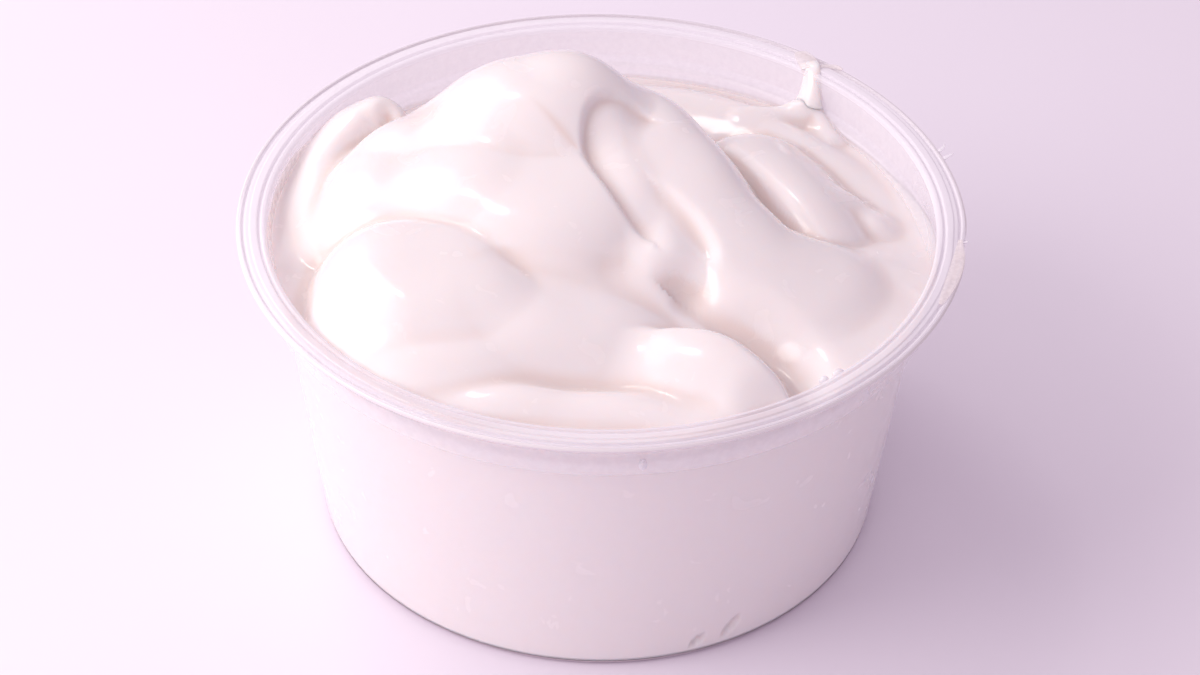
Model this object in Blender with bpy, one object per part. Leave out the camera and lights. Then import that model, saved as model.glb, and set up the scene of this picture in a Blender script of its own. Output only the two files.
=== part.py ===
"""A clear plastic dip cup heaped with thick white dip.

The origin is the middle of the foot, on the surface that the cup stands on, with +Z up.
Seen from the front, from -Y, the heap leans back and to the left and its ridge runs down to the right.
Lengths are metres. The dip's forms are set in millimetres from the middle of the rim.
"""

from dataclasses import dataclass

import bmesh
import bpy
import numpy as np

MM = 0.001

# The cup's driving dimensions
HEIGHT = 47.8 * MM
RIM_RADIUS = 50.0 * MM
MOUTH_RADIUS = 45.7 * MM
BODY_TOP_RADIUS = 44.7 * MM
FOOT_RADIUS = 39.7 * MM
WALL = 0.9 * MM
SKIRT_DEPTH = 7.4 * MM
LEDGE_DEPTH = 4.6 * MM
FOOT_RECESS = 0.8 * MM
FLANGE_THICKNESS = 1.3 * MM

# The dip's driving dimensions
GAP = 0.3 * MM
WALL_LEVEL = -4.8
LEVEL_TILT = -0.055
RIM_CLEARANCE = -1.1
WALL_SLOPE = 0.7

CUP_SEGMENTS = 88
DIP_CELLS = 50
SMOOTHING = 0.5
CONTACT_ROUNDS = 12
LEAST_STEP = 0.12 * MM

# How finely folds and creases are stepped along their lines, and how softly the steps melt together
FOLD_STEP = 1.0
FOLD_SOFTNESS = 0.35
GROOVE_STEP = 0.3
GROOVE_SOFTNESS = 0.06


def clear_scene():
    """Remove the objects that the file opened with."""
    for item in list(bpy.data.objects):
        bpy.data.objects.remove(item)


def make_material(name, colour, roughness, alpha=1.0):
    """A plain Principled material."""
    material = bpy.data.materials.new(name)
    material.use_nodes = True
    shader = material.node_tree.nodes["Principled BSDF"]
    shader.inputs["Base Color"].default_value = (*colour, 1.0)
    shader.inputs["Roughness"].default_value = roughness
    shader.inputs["Metallic"].default_value = 0.0
    shader.inputs["Alpha"].default_value = alpha
    return material


def clear_plastic():
    """Thin moulded polypropylene, clear with a faint haze."""
    return make_material("clear moulded plastic", (0.86, 0.82, 0.87), 0.14, alpha=0.35)


def white_dip():
    """Thick strained white dip with a wet sheen."""
    return make_material("thick white dip", (0.92, 0.86, 0.88), 0.32)


def inner_profile():
    """The cup's inside as (radius, height) from the mouth down to the middle of the floor."""
    ledge = HEIGHT - LEDGE_DEPTH
    bore = BODY_TOP_RADIUS - WALL
    floor = FOOT_RECESS + WALL
    corner = FOOT_RADIUS - WALL
    return [
        (MOUTH_RADIUS, HEIGHT - 0.75 * MM),
        (MOUTH_RADIUS - 0.4 * MM, ledge),
        (bore + 0.3 * MM, ledge - 0.55 * MM),
        (bore, ledge - 0.9 * MM),
        (corner + 0.2 * MM, floor + 1.6 * MM),
        (corner - 1.5 * MM, floor),
        (0.0, floor),
    ]


def outer_profile():
    """The cup's outside as (radius, height) from the middle of its underside up to the mouth."""
    skirt_foot = HEIGHT - SKIRT_DEPTH
    skirt_radius = BODY_TOP_RADIUS + 2.25 * MM
    under_flange = HEIGHT - FLANGE_THICKNESS
    return [
        (0.0, FOOT_RECESS),
        (FOOT_RADIUS - 3.4 * MM, FOOT_RECESS),
        (FOOT_RADIUS - 2.8 * MM, 0.0),
        (FOOT_RADIUS - 1.1 * MM, 0.0),
        (FOOT_RADIUS - 0.35 * MM, 0.3 * MM),
        (FOOT_RADIUS + 0.05 * MM, 1.1 * MM),
        (BODY_TOP_RADIUS, skirt_foot + 0.8 * MM),
        (BODY_TOP_RADIUS + 0.35 * MM, skirt_foot + 1.3 * MM),
        (skirt_radius - 0.9 * MM, skirt_foot + 1.3 * MM),
        (skirt_radius - 0.8 * MM, skirt_foot),
        (skirt_radius - 0.15 * MM, skirt_foot),
        (skirt_radius, skirt_foot + 0.2 * MM),
        (skirt_radius + 0.4 * MM, under_flange),
        (RIM_RADIUS - 0.7 * MM, under_flange),
        (RIM_RADIUS - 0.15 * MM, HEIGHT - 0.95 * MM),
        (RIM_RADIUS, HEIGHT - 0.6 * MM),
        (RIM_RADIUS - 0.25 * MM, HEIGHT - 0.25 * MM),
        (RIM_RADIUS - 0.8 * MM, HEIGHT - 0.15 * MM),
        (RIM_RADIUS - 1.9 * MM, HEIGHT - 0.2 * MM),
        (RIM_RADIUS - 2.3 * MM, HEIGHT),
        (RIM_RADIUS - 3.3 * MM, HEIGHT),
        (MOUTH_RADIUS + 0.3 * MM, HEIGHT - 0.2 * MM),
    ]


def turned_object(name, profile, segments, material):
    """Spin a profile that starts and ends on the axis into one closed body."""
    mesh = bmesh.new()
    verts = [mesh.verts.new((radius, 0.0, height)) for radius, height in profile]
    edges = [mesh.edges.new(pair) for pair in zip(verts, verts[1:])]
    bmesh.ops.spin(mesh, geom=verts + edges, cent=(0, 0, 0), axis=(0, 0, 1),
                   angle=2 * np.pi, steps=segments, use_merge=True)
    bmesh.ops.remove_doubles(mesh, verts=mesh.verts, dist=0.01 * MM)
    bmesh.ops.recalc_face_normals(mesh, faces=mesh.faces)
    return finish_object(name, mesh, material)


def finish_object(name, mesh, material):
    """Turn a bmesh into a smooth-shaded object with one material."""
    data = bpy.data.meshes.new(name)
    mesh.to_mesh(data)
    mesh.free()
    data.materials.append(material)
    data.shade_smooth()
    data.set_sharp_from_angle(angle=np.radians(35))
    item = bpy.data.objects.new(name, data)
    bpy.context.scene.collection.objects.link(item)
    return item


def build_cup():
    """The cup: rim flange, hanging skirt, lid ledge, tapered body and foot ring in one moulding."""
    return turned_object("cup", outer_profile() + inner_profile(), CUP_SEGMENTS, clear_plastic())


def flow_line(stations, spacing):
    """Run a smooth curve through hand-set stations and return places about spacing apart."""
    stations = np.array(stations, float)
    first = 2 * stations[0] - stations[1]
    last = 2 * stations[-1] - stations[-2]
    ends = np.vstack([first, stations, last])
    rows = []
    for before, start, stop, after in zip(ends, ends[1:], ends[2:], ends[3:]):
        steps = max(2, int(np.hypot(*(stop - start)[:2]) / spacing))
        bend = 2 * before - 5 * start + 4 * stop - after
        twist = 3 * start - before - 3 * stop + after
        for t in np.arange(steps) / steps:
            rows.append(start + 0.5 * ((stop - before) * t + bend * t ** 2 + twist * t ** 3))
    rows.append(stations[-1])
    return np.array(rows)


def directions(path):
    """The unit direction of travel at each place on a path."""
    run = np.gradient(path[:, :2], axis=0)
    return run / np.linalg.norm(run, axis=1)[:, None]


def melt_together(layers, softness):
    """Blend many overlapping surfaces into their highest one without a hard crease."""
    top = np.max(layers, axis=0)
    total = np.zeros_like(top)
    weight = np.zeros_like(top)
    for layer in layers:
        share = np.exp((layer - top) / softness)
        total += share * layer
        weight += share
    return total / weight


def soft_union(low, high, blend):
    """Keep the higher of two surfaces, rounded over the blend height where they meet."""
    near = np.maximum(blend - np.abs(low - high), 0) / blend
    return np.maximum(low, high) + near * near * blend / 4


def local_axes(form, x, y):
    """Distances from a form's middle along its own two axes, as shares of its half lengths."""
    c, s = np.cos(np.radians(form.turn)), np.sin(np.radians(form.turn))
    along = (c * (x - form.x) + s * (y - form.y)) / form.half_x
    across = (c * (y - form.y) - s * (x - form.x)) / form.half_y
    return along, across


@dataclass
class Dollop:
    """A rounded mound whose top stands at a height over the rim."""

    x: float
    y: float
    top: float
    half_x: float
    half_y: float
    blend: float
    turn: float = 0.0
    sag: float = 4.0
    power: float = 2.0
    square: float = 2.0

    def lay_on(self, surface, x, y):
        """Add the mound to the surface."""
        along, across = local_axes(self, x, y)
        spread = np.abs(along) ** self.square + np.abs(across) ** self.square
        mound = self.top - self.sag * spread ** (self.power / self.square)
        return soft_union(surface, mound, self.blend)


@dataclass
class Fold:
    """A ridge drawn out by the spoon, with stations (x, y, crest height) along its crest."""

    line: list
    left: tuple
    right: tuple
    blend: float
    sag: float = 4.0
    power: float = 2.0

    def lay_on(self, surface, x, y):
        """Add the ridge to the surface."""
        path = flow_line(self.line, FOLD_STEP)
        lefts = np.linspace(*self.left, len(path))
        rights = np.linspace(*self.right, len(path))
        layers = []
        for (px, py, crest), (dx, dy), left, right in zip(path, directions(path), lefts, rights):
            side = dx * (y - py) - dy * (x - px)
            ahead = dx * (x - px) + dy * (y - py)
            width = np.where(side > 0, left, right)
            spread = (side / width) ** 2 + (2 * ahead / (left + right)) ** 2
            layers.append(crest - self.sag * spread ** (self.power / 2))
        return soft_union(surface, melt_together(layers, FOLD_SOFTNESS), self.blend)


@dataclass
class Groove:
    """A crease with stations (x, y, depth), wider on one side of its line than on the other."""

    line: list
    left: float
    right: float

    def lay_on(self, surface, x, y):
        """Cut the crease into the surface."""
        path = flow_line(self.line, GROOVE_STEP)
        layers = []
        for (px, py, depth), (dx, dy) in zip(path, directions(path)):
            side = dx * (y - py) - dy * (x - px)
            width = np.where(side > 0, self.left, self.right)
            layers.append(depth * np.exp(-((x - px) ** 2 + (y - py) ** 2) / width ** 2))
        return surface - melt_together(layers, GROOVE_SOFTNESS)


@dataclass
class Dent:
    """A rounded hollow."""

    x: float
    y: float
    depth: float
    half_x: float
    half_y: float
    turn: float = 0.0

    def lay_on(self, surface, x, y):
        """Press the hollow into the surface."""
        along, across = local_axes(self, x, y)
        return surface - self.depth * np.exp(-(along ** 2 + across ** 2))


def dip_forms():
    """The heap's forms in the order in which they lie on each other."""
    back_bank = Fold(
        [(-10, 37, -5.5), (8, 36.5, -5.0), (20, 31.5, -4.2), (30, 23, -4.4), (37, 13.5, -5.2), (40, 4, -6)],
        left=(5, 4), right=(7, 6), blend=1.5, sag=2.5)
    heap = Dollop(-8.5, 15.3, 12.6, 16.5, 12, blend=2, sag=8, power=2.8)
    peak = Dollop(-5.5, 17.5, 12.9, 6.5, 6, blend=2, sag=2.5, power=2.4)
    heap_foot = Dollop(-24, 14.5, 4.4, 9.5, 7, blend=4, turn=25, sag=4, power=3)
    apron = Dollop(-8, 0, 7.8, 17.5, 16.5, blend=6.5, turn=-18, sag=4.5, power=3.6)
    ridge = Fold(
        [(3.2, 13, 7.6), (4.9, 10.3, 7.3), (8.5, 4.4, 6.6), (11.5, -1.6, 5.4), (15, -6, 4.0), (19, -9.5, 2.4),
         (26, -11.5, 0.2)],
        left=(11, 11), right=(17, 15), blend=2, sag=5, power=4)
    pillow = Dollop(-24, 3.0, 4.9, 13.5, 12, blend=7, turn=-8, sag=4, power=4, square=2.6)
    left_bank = Fold(
        [(-40.3, -4, -4.2), (-41, 4, -2.6), (-40, 11, -1.5), (-37.6, 17.5, -0.2), (-34.6, 22, 1.3),
         (-32, 23.4, 1.8)],
        left=(6, 4), right=(3.4, 2.8), blend=3.4, sag=2.3)
    front_left = Dollop(-23, -17.2, 5.2, 14.8, 14.3, blend=1.0, sag=6, power=4, square=2.6)
    front_left_foot = Dollop(-19, -26, 2.6, 17, 12, blend=4, sag=4, power=3)
    shelf = Dollop(-5, -23.5, 2.2, 15, 10, blend=6, turn=-12, sag=4, power=3)
    front_fold = Fold(
        [(-24, -38.5, -2.4), (-13, -38, -0.2), (-4, -39, -0.7), (5, -39.5, -0.7), (13, -41.5, -1.4)],
        left=(5, 6), right=(6, 6), blend=1, sag=4)
    pool = Fold(
        [(20, -15, -0.8), (28, -8.5, -1.4), (35, -7.5, -2.4), (41, -11.5, -3.8)],
        left=(5, 2.5), right=(20, 18), blend=3, sag=2.5)
    tongue = Fold(
        [(19.8, 16.3, 0.4), (23.3, 10.8, 0.9), (27.4, 4.2, 0.4), (30.4, -1.2, -1.2)],
        left=(8, 7), right=(4.0, 3.6), blend=0.8, sag=3)
    front_right = Fold(
        [(3, -28, -0.6), (7.5, -28.3, 1.4), (11.5, -29, 2.6), (16, -31, 3.0), (20.5, -35.5, 2.0),
         (23.5, -41, 0.4)],
        left=(3.4, 3.2), right=(9, 9), blend=2, sag=3.6)
    middle_lump = Dollop(8.0, -12.5, 3.0, 7, 5.5, blend=4, turn=30, sag=2.5)
    lump_by_tongue = Dollop(31.7, 8, -1.8, 4.5, 3, blend=1.2, turn=-35, sag=1.2)
    lump_by_wall = Dollop(37, 4.3, -3.2, 3.5, 3, blend=1.2, turn=-35, sag=1.2)
    wall_smear = Fold(
        [(20, 31, -5.0), (25.5, 32, -4.2), (29.2, 32.5, -3.0), (31, 31, -4.0), (33, 27, -5.5)],
        left=(2.5, 2.5), right=(4, 3), blend=2.5, sag=3)
    scoop = Groove(
        [(8, 11.2, 0), (5, 12.3, 0.5), (2, 12.8, 0.8), (-0.5, 11.4, 1.0), (-2.0, 8.5, 1.1), (-2.2, 4.6, 1.1),
         (-1.0, 0.6, 1.1), (1.1, -3.6, 1.0), (3.0, -7.0, 0.9), (5.0, -9.8, 0.7), (7.4, -13, 0.1)],
        left=3.2, right=0.8)
    second_crease = Groove(
        [(6.5, -1, 0), (9.1, -5.1, 0.7), (11.6, -8.5, 1.1), (13.5, -12.5, 1.1), (14.2, -15.5, 0.3)],
        left=1.6, right=3.3)
    pit = Dent(11.5, -17.5, 1.9, 3.8, 2.6, turn=-15)
    valley = Groove(
        [(11, -19.5, 0.8), (15.5, -22, 2.2), (20.5, -25, 3.2), (24.7, -29.8, 3.2), (26.5, -37, 2.4)],
        left=3.8, right=1.8)
    curl_hollow = Dent(-30.6, 21.2, 2.2, 1.2, 2.2)
    dimple = Dent(15.9, 24.8, 1.0, 2.0, 1.4)
    return [back_bank, heap, peak, heap_foot, apron, ridge, pillow, left_bank, front_left,
            front_left_foot, shelf, front_fold, pool, tongue, front_right, middle_lump, lump_by_tongue,
            lump_by_wall, wall_smear, scoop, second_crease, pit, valley, curl_hollow, dimple]


def dip_height(x, y):
    """Height of the dip's top over the foot, in metres, at places given in metres."""
    x, y = x / MM, y / MM
    surface = WALL_LEVEL + LEVEL_TILT * y + 0.0 * x
    for form in dip_forms():
        surface = form.lay_on(surface, x, y)
    to_wall = MOUTH_RADIUS / MM - np.hypot(x, y)
    limit = RIM_CLEARANCE + WALL_SLOPE * to_wall
    return HEIGHT - MM * soft_union(-surface, -limit, 1.0)


def offset_profile(profile, distance):
    """Move a wall's profile inward, square to its own surface, with its floor end kept on the axis."""
    points = np.array(profile)
    run = np.diff(points, axis=0)
    run /= np.linalg.norm(run, axis=1)[:, None]
    normals = np.column_stack([run[:, 1], -run[:, 0]])
    before = np.vstack([normals[:1], normals])
    after = np.vstack([normals, normals[-1:]])
    lean = before + after
    scale = 2 * distance / np.sum(lean * lean, axis=1)
    moved = points + lean * scale[:, None]
    moved[-1, 0] = 0.0
    return moved


def wall_radius(profile, z):
    """Radius of a wall profile at each height, down to the edge of the floor."""
    rising = profile[-2::-1]
    return np.interp(z, rising[:, 1], rising[:, 0])


def contact_radius(angle, profile):
    """Radius at which the dip's top meets the wall at each angle."""
    radius = np.full_like(angle, BODY_TOP_RADIUS - WALL)
    for _ in range(CONTACT_ROUNDS):
        height = dip_height(radius * np.cos(angle), radius * np.sin(angle))
        radius = 0.5 * (radius + wall_radius(profile, height))
    return radius


def edge_radius(angle, profile):
    """The smallest contact radius within a cell on either side, so that no edge cuts the ledge's corner."""
    cell = 2 * np.pi / (4 * DIP_CELLS)
    return np.min([contact_radius(angle + turn, profile) for turn in (-cell, 0.0, cell)], axis=0)


def disc_coordinates(a, b):
    """Map a square from -1 to 1 onto a round disc with even cells; returns radius share and angle."""
    tall = np.abs(b) > np.abs(a)
    major = np.where(tall, b, a)
    minor = np.where(tall, a, b)
    safe = np.where(major == 0, 1.0, major)
    turn = np.pi / 4 * minor / safe
    angle = np.where(tall, np.pi / 2 - turn, turn)
    angle = angle + np.where(major < 0, np.pi, 0.0)
    return np.abs(major), angle


def build_dip():
    """The dip: one solid from the cup's floor up to the heap, clear of the wall by the gap."""
    wall = offset_profile(inner_profile(), GAP)
    mesh = bmesh.new()
    bmesh.ops.create_grid(mesh, x_segments=DIP_CELLS, y_segments=DIP_CELLS, size=1.0)
    flat = np.array([vert.co[:2] for vert in mesh.verts])
    share, angle = disc_coordinates(flat[:, 0], flat[:, 1])
    radius = share * edge_radius(angle, wall)
    x = radius * np.cos(angle)
    y = radius * np.sin(angle)
    for vert, place in zip(mesh.verts, zip(x, y, dip_height(x, y))):
        vert.co = place
    bmesh.ops.smooth_vert(mesh, verts=inner_verts(mesh), factor=SMOOTHING, use_axis_x=True,
                          use_axis_y=True, use_axis_z=True)
    bmesh.ops.triangulate(mesh, faces=mesh.faces, quad_method="SHORT_EDGE")
    add_dip_wall(mesh, wall)
    bmesh.ops.recalc_face_normals(mesh, faces=mesh.faces)
    return finish_object("dip", mesh, white_dip())


def inner_verts(mesh):
    """The top's points that don't lie on its edge."""
    return [vert for vert in mesh.verts if not vert.is_boundary]


def add_dip_wall(mesh, wall):
    """Extrude the top's edge down the wall, one ring at each bend of the profile, and close the floor.

    A column that starts inside the bore stays inside it, so that none crosses the ledge's corner.
    """
    bore = BODY_TOP_RADIUS - WALL
    for level in wall[1:-1, 1]:
        rim = [edge for edge in mesh.edges if edge.is_boundary]
        grown = bmesh.ops.extrude_edge_only(mesh, edges=rim)["geom"]
        for vert in (item for item in grown if isinstance(item, bmesh.types.BMVert)):
            height = min(level, vert.co.z - LEAST_STEP)
            radius = float(wall_radius(wall, height))
            if vert.co.xy.length < bore:
                radius = min(radius, vert.co.xy.length)
            flat = vert.co.xy.normalized() * radius
            vert.co = (flat.x, flat.y, height)
    rim = [edge for edge in mesh.edges if edge.is_boundary]
    bmesh.ops.contextual_create(mesh, geom=rim)


def main():
    """Build the cup and the dip."""
    clear_scene()
    build_cup()
    build_dip()


main()
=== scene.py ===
"""The looks of a clear plastic dip cup heaped with thick white dip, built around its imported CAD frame.

The origin is the middle of the cup's foot, on the surface that it stands on, with +Z up and -Y to the front.
Meshes are in metres. The heap's forms and the marks on the cup are set in millimetres from the middle of
the rim, so that a height of 0 is level with the rim.
"""

from __future__ import annotations

import logging
import math
from dataclasses import dataclass, field
from enum import Enum, IntEnum
from typing import Protocol, Sequence

import bmesh
import bpy
import numpy as np
from mathutils import Euler, Matrix, Vector

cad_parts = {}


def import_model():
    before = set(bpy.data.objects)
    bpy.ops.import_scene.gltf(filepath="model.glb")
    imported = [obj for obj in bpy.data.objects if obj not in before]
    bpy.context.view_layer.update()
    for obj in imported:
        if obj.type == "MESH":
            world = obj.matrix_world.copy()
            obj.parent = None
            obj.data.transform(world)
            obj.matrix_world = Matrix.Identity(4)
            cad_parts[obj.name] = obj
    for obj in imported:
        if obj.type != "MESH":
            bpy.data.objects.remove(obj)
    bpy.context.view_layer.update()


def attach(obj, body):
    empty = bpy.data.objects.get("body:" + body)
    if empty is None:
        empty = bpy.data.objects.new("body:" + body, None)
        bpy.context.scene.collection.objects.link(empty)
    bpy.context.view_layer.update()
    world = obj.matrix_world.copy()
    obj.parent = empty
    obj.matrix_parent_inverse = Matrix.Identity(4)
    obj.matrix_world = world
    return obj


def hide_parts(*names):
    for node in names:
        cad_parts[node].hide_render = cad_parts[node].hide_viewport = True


MM = 0.001
RIM_HEIGHT = 47.8 * MM
BODY = "root"

Point = tuple[float, float]
Place = tuple[float, float, float]

log = logging.getLogger("dip_cup")


class Slot(Enum):
    """The record's material slots that the pieces are tagged with; nothing reads them."""

    PLASTIC = "clear_plastic"
    DIP = "white_dip"


class Stands(Enum):
    """The CAD node that a piece stands for, if any."""

    CUP = "cup"
    DIP = "dip"
    NOTHING = ""


class Zone(IntEnum):
    """The areas of the cup that look different, in the order of its materials."""

    CLEAR = 0
    WETTED = 1
    # An opaque pale edge, painted for the light that gathers in the flange's rim.
    THICK = 2
    SHEER = 3
    # A grey foot ring, painted with the shade under the foot.
    RING = 4


def linear_colour(code: str) -> tuple[float, float, float, float]:
    """Turn an sRGB hex colour into linear light.

    Args:
        code: The colour as #RRGGBB.

    Returns:
        Red, green, blue and an alpha of 1.
    """
    shares = [int(code[start:start + 2], 16) / 255 for start in (1, 3, 5)]
    light = [share / 12.92 if share <= 0.04045 else ((share + 0.055) / 1.055) ** 2.4 for share in shares]
    return (light[0], light[1], light[2], 1.0)


def add_node(tree: bpy.types.NodeTree, kind: str, settings: dict | None = None,
             links: dict | None = None) -> bpy.types.Node:
    """Add a node with its settings and links.

    Args:
        tree: The node tree that gets the node.
        kind: The node's type name.
        settings: Values by property name, or by socket name or number.
        links: Sockets that feed this node, by its own socket name or number.

    Returns:
        The new node.
    """
    node = tree.nodes.new(kind)
    for name, value in (settings or {}).items():
        if isinstance(name, str) and hasattr(node, name):
            setattr(node, name, value)
        else:
            node.inputs[name].default_value = value
    for name, socket in (links or {}).items():
        tree.links.new(socket, node.inputs[name])
    return node


def new_material(name: str) -> tuple[bpy.types.Material, bpy.types.NodeTree, bpy.types.Node]:
    """Start a material.

    Args:
        name: The material's name.

    Returns:
        The material, its node tree and its Principled shader.
    """
    material = bpy.data.materials.new(name)
    material.use_nodes = True
    tree = material.node_tree
    return material, tree, tree.nodes["Principled BSDF"]


def per_metre(size_mm: float) -> float:
    """The noise scale whose features are size_mm across, as object coordinates are metres."""
    return 1.0 / (size_mm * MM)


class Finish(Protocol):
    """Anything that can make a material."""

    def material(self) -> bpy.types.Material:
        """Make the material."""
        ...


@dataclass(frozen=True)
class MouldedPolypropylene:
    """Clear polypropylene, injection-moulded in a polished mould."""

    name: str = "clear moulded polypropylene"
    tint: str = "#F6F2F9"
    ior: float = 1.49
    clearness: float = 0.6
    slant_blend: float = 0.35
    roughness: float = 0.035
    flow_mm: float = 7.0
    flow_depth_mm: float = 0.012
    scuff_mm: float = 1.1

    def material(self) -> bpy.types.Material:
        """Make the plastic.

        Returns:
            The material.
        """
        # The eye sees through it, less at a slant, with pale lines along its edges and a faint lilac haze.
        # Resin that flowed round the mould leaves very shallow waves, and handling a slight uneven scuff.
        material, tree, shader = new_material(self.name)
        shader.inputs["Base Color"].default_value = linear_colour(self.tint)
        shader.inputs["IOR"].default_value = self.ior
        place = add_node(tree, "ShaderNodeTexCoord").outputs["Object"]
        flow = add_node(tree, "ShaderNodeTexNoise", {"Scale": per_metre(self.flow_mm), "Detail": 2.0},
                        {"Vector": place})
        scuff = add_node(tree, "ShaderNodeTexNoise", {"Scale": per_metre(self.scuff_mm), "Detail": 4.0},
                         {"Vector": place})
        rough = add_node(tree, "ShaderNodeMapRange",
                         {"From Min": 0.35, "From Max": 0.75, "To Min": self.roughness,
                          "To Max": self.roughness * 2.2}, {"Value": scuff.outputs["Fac"]})
        wave = add_node(tree, "ShaderNodeBump", {"Strength": 1.0, "Distance": self.flow_depth_mm * MM},
                        {"Height": flow.outputs["Fac"]})
        slant = add_node(tree, "ShaderNodeLayerWeight", {"Blend": self.slant_blend})
        cover = add_node(tree, "ShaderNodeMapRange", {"To Min": 1.0 - self.clearness, "To Max": 1.0},
                         {"Value": slant.outputs["Facing"]})
        tree.links.new(cover.outputs["Result"], shader.inputs["Alpha"])
        tree.links.new(rough.outputs["Result"], shader.inputs["Roughness"])
        tree.links.new(wave.outputs["Normal"], shader.inputs["Normal"])
        return material


@dataclass(frozen=True)
class SheerPolypropylene:
    """The same plastic where it is thin enough to look straight through."""

    name: str
    film: float
    tint: str = "#F9F4F8"
    ior: float = 1.49
    roughness: float = 0.2
    scuff_mm: float = 1.3

    def material(self) -> bpy.types.Material:
        """Make the thin plastic.

        Returns:
            The material.
        """
        # The eye looks straight through it and notices only a thin, pale and slightly scuffed skin.
        material, tree, shader = new_material(self.name)
        place = add_node(tree, "ShaderNodeTexCoord").outputs["Object"]
        scuff = add_node(tree, "ShaderNodeTexNoise", {"Scale": per_metre(self.scuff_mm), "Detail": 4.0},
                         {"Vector": place})
        skin = add_node(tree, "ShaderNodeMapRange",
                        {"From Min": 0.35, "From Max": 0.75, "To Min": self.film, "To Max": self.film * 1.15},
                        {"Value": scuff.outputs["Fac"]})
        shader.inputs["Base Color"].default_value = linear_colour(self.tint)
        shader.inputs["IOR"].default_value = self.ior
        shader.inputs["Roughness"].default_value = self.roughness
        tree.links.new(skin.outputs["Result"], shader.inputs["Alpha"])
        return material


@dataclass(frozen=True)
class StrainedDip:
    """Thick strained white dip, spooned into folds, with a wet sheen."""

    face: str = "#F2EBEB"
    # Painted shade: a darker, warmer colour laid into the creases for the light that bounces and scatters
    # there.
    crease: str = "#EBDEDA"
    ior: float = 1.38
    roughness: float = 0.22
    wettest: float = 0.75
    driest: float = 1.3
    grain_mm: float = 0.5
    grain_depth_mm: float = 0.004
    drag_mm: float = 5.0
    drag_depth_mm: float = 0.02
    coat: float = 0.45
    coat_roughness: float = 0.07
    scatter_mm: float = 1.3
    scatter_rgb: Place = (1.0, 0.85, 0.76)

    def material(self) -> bpy.types.Material:
        """Make the dip.

        Returns:
            The material.
        """
        # The eye sees a dense, nearly white cream with soft edges, because light spreads under its skin.
        # Creases are painted a little darker and warmer, a painted shade for the light that bounces and
        # scatters in them; wet spots shine more than others, and the spoon leaves soft waves.
        # The grain of the real curd is finer than 0.1 mm and is drawn coarser so that it shows.
        material, tree, shader = new_material("thick strained white dip")
        place = add_node(tree, "ShaderNodeTexCoord").outputs["Object"]
        drag = add_node(tree, "ShaderNodeTexNoise", {"Scale": per_metre(self.drag_mm), "Detail": 3.0,
                                                     "Distortion": 0.6}, {"Vector": place})
        grain = add_node(tree, "ShaderNodeTexNoise", {"Scale": per_metre(self.grain_mm), "Detail": 4.0},
                         {"Vector": place})
        # The painted crease shade: the crease attribute mixes the face colour toward the darker crease
        # colour.
        crease = add_node(tree, "ShaderNodeAttribute", {"attribute_name": "crease"})
        colour = add_node(tree, "ShaderNodeMix",
                          {"data_type": "RGBA", 6: linear_colour(self.face), 7: linear_colour(self.crease)},
                          {0: crease.outputs["Fac"]})
        wet = add_node(tree, "ShaderNodeMapRange",
                       {"From Min": 0.3, "From Max": 0.7, "To Min": self.roughness * self.wettest,
                        "To Max": self.roughness * self.driest}, {"Value": drag.outputs["Fac"]})
        wave = add_node(tree, "ShaderNodeBump", {"Strength": 1.0, "Distance": self.drag_depth_mm * MM},
                        {"Height": drag.outputs["Fac"]})
        fine = add_node(tree, "ShaderNodeBump", {"Strength": 1.0, "Distance": self.grain_depth_mm * MM},
                        {"Height": grain.outputs["Fac"], "Normal": wave.outputs["Normal"]})
        tree.links.new(colour.outputs[2], shader.inputs["Base Color"])
        tree.links.new(wet.outputs["Result"], shader.inputs["Roughness"])
        tree.links.new(fine.outputs["Normal"], shader.inputs["Normal"])
        shader.inputs["IOR"].default_value = self.ior
        shader.inputs["Coat Weight"].default_value = self.coat
        shader.inputs["Coat Roughness"].default_value = self.coat_roughness
        shader.inputs["Subsurface Weight"].default_value = 1.0
        shader.inputs["Subsurface Radius"].default_value = self.scatter_rgb
        shader.inputs["Subsurface Scale"].default_value = self.scatter_mm * MM
        return material


@dataclass(frozen=True)
class SmearedDip:
    """A film of the same dip, so thin that the plastic shows through it."""

    face: str = "#FBF3F2"
    ior: float = 1.38
    roughness: float = 0.28
    streak_mm: float = 1.6
    streak_depth_mm: float = 0.015
    thinnest: float = 0.3
    thickest: float = 0.5

    def material(self) -> bpy.types.Material:
        """Make the film.

        Returns:
            The material.
        """
        # The eye sees a milky, wet film whose thickness runs in little streaks.
        material, tree, shader = new_material("thin smeared white dip")
        place = add_node(tree, "ShaderNodeTexCoord").outputs["Object"]
        streak = add_node(tree, "ShaderNodeTexNoise", {"Scale": per_metre(self.streak_mm), "Detail": 3.0},
                          {"Vector": place})
        cover = add_node(tree, "ShaderNodeMapRange",
                         {"From Min": 0.35, "From Max": 0.65, "To Min": self.thinnest,
                          "To Max": self.thickest},
                         {"Value": streak.outputs["Fac"]})
        bump = add_node(tree, "ShaderNodeBump", {"Strength": 1.0, "Distance": self.streak_depth_mm * MM},
                        {"Height": streak.outputs["Fac"]})
        shader.inputs["Base Color"].default_value = linear_colour(self.face)
        shader.inputs["IOR"].default_value = self.ior
        shader.inputs["Roughness"].default_value = self.roughness
        tree.links.new(cover.outputs["Result"], shader.inputs["Alpha"])
        tree.links.new(bump.outputs["Normal"], shader.inputs["Normal"])
        return material


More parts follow.
